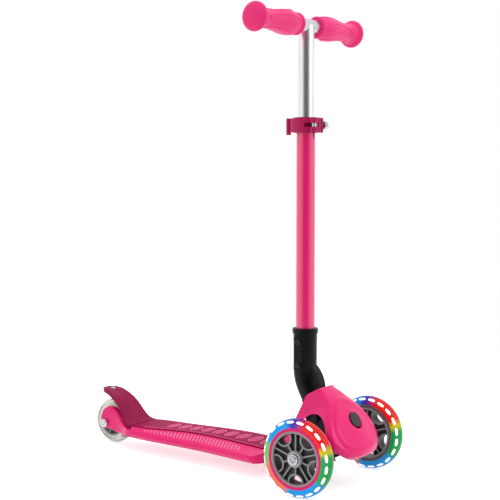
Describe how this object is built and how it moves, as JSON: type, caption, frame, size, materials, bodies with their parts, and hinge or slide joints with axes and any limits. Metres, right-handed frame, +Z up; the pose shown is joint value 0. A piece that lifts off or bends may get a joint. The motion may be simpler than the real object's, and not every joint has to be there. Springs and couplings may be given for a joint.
{
  "type": "child's three-wheel kick scooter",
  "caption": "Child's folding kick scooter with lean steering, lit front wheels, a telescopic T-bar with clamp lever and a rear fender brake.",
  "frame": {"origin": "centre of the box around the scooter, on the floor under its wheels", "axes": "+X forward along the deck, +Y to the rider's left, +Z up from the floor"},
  "size_m": [0.5684, 0.294, 0.7434],
  "materials": {
    "pink_shell": "glossy moulding",
    "raspberry": "satin moulding",
    "black_nylon": "satin",
    "clear_tyre": "clear cast polyurethane",
    "light_ring": "glossy",
    "dark_rim": "satin",
    "grey_cap": "satin",
    "steel": "zinc plated",
    "pink_column": "metallic lacquer",
    "polished_bar": "polished",
    "grip_rubber": "soft matt",
    "bush_rubber": "matt",
    "copper_coil": "wound core"
  },
  "bodies": {
    "deck": {"deck_base": "pink_shell", "deck_pad": "raspberry", "chassis_screws": "steel", "front_chassis": "black_nylon", "front_housing": "pink_shell", "housing_screws": "steel", "kingpin": "steel", "kingpin_nut": "steel", "steering_bushings": "bush_rubber", "fold_pin": "steel", "fold_pin_nut": "steel", "latch_pin": "steel", "button_spring": "steel", "rear_axle": "steel", "rear_axle_nut": "steel", "rear_spacers": "steel"},
    "truck": {"axle_beam": "black_nylon", "front_axle_bolts": "steel", "generator_cores": "copper_coil"},
    "right_wheel": {"right_tyre": "clear_tyre", "right_light_ring": "light_ring", "right_rim": "dark_rim", "right_bearings": "steel", "right_dust_cap": "grey_cap"},
    "left_wheel": {"left_tyre": "clear_tyre", "left_light_ring": "light_ring", "left_rim": "dark_rim", "left_bearings": "steel", "left_dust_cap": "grey_cap"},
    "rear_wheel": {"rear_tyre": "clear_tyre", "rear_rim": "grey_cap", "rear_bearings": "steel"},
    "brake": {"brake_fender": "raspberry", "brake_plate": "steel", "brake_screw": "steel"},
    "mast": {"hinge_arm": "black_nylon", "arm_bolts": "steel", "arm_nuts": "steel", "column": "pink_column", "column_bush": "black_nylon", "clamp_collar": "raspberry", "clamp_bolt": "steel", "clamp_barrel": "steel", "clamp_nut": "steel"},
    "handlebar": {"stem_tube": "polished_bar", "crossbar": "polished_bar", "left_grip": "grip_rubber", "right_grip": "grip_rubber"},
    "lever": {"clamp_lever": "raspberry"},
    "button": {"fold_button": "grey_cap"},
    "pawl": {"latch_pawl": "steel"}
  },
  "joints": [
    {"name": "lean_steer", "type": "hinge", "parent": "deck", "child": "truck", "pos_m": [0.22375, 0, 0.0605], "axis": [0.8829, 0, 0.4695], "range_deg": [-15, 15], "stiffness_Nm_per_rad": 30},
    {"name": "right_wheel_spin", "type": "hinge", "parent": "truck", "child": "right_wheel", "pos_m": [0.22375, -0.108, 0.0605], "axis": [0, 1, 0], "continuous": true},
    {"name": "left_wheel_spin", "type": "hinge", "parent": "truck", "child": "left_wheel", "pos_m": [0.22375, 0.108, 0.0605], "axis": [0, 1, 0], "continuous": true},
    {"name": "rear_wheel_spin", "type": "hinge", "parent": "deck", "child": "rear_wheel", "pos_m": [-0.24425, 0, 0.04], "axis": [0, 1, 0], "continuous": true},
    {"name": "brake_press", "type": "hinge", "parent": "deck", "child": "brake", "pos_m": [-0.17925, 0, 0.041], "axis": [0, -1, 0], "range_deg": [0, 2.8], "stiffness_Nm_per_rad": 40, "springref_deg": -0.57},
    {"name": "fold", "type": "hinge", "parent": "deck", "child": "mast", "pos_m": [0.19863, 0, 0.10437], "axis": [0, -1, 0], "range_deg": [0, 80]},
    {"name": "bar_height", "type": "slide", "parent": "mast", "child": "handlebar", "axis": [0, 0, 1], "range_m": [-0.05, 0.05]},
    {"name": "clamp_release", "type": "hinge", "parent": "mast", "child": "lever", "pos_m": [0.19025, -0.015, 0.5645], "axis": [0, 0, 1], "range_deg": [0, 120]},
    {"name": "button_press", "type": "slide", "parent": "deck", "child": "button", "axis": [-0.8829, 0, -0.4695], "range_m": [0, 0.003], "stiffness_N_per_m": 1500, "springref_m": -0.001},
    {"name": "pawl_swing", "type": "hinge", "parent": "deck", "child": "pawl", "pos_m": [0.22777, 0, 0.10175], "axis": [0, 1, 0], "range_deg": [0, 16]}
  ],
  "couplings": [
    {"joint": "pawl_swing", "follows": "button_press", "rad_per_m": 90}
  ]
}
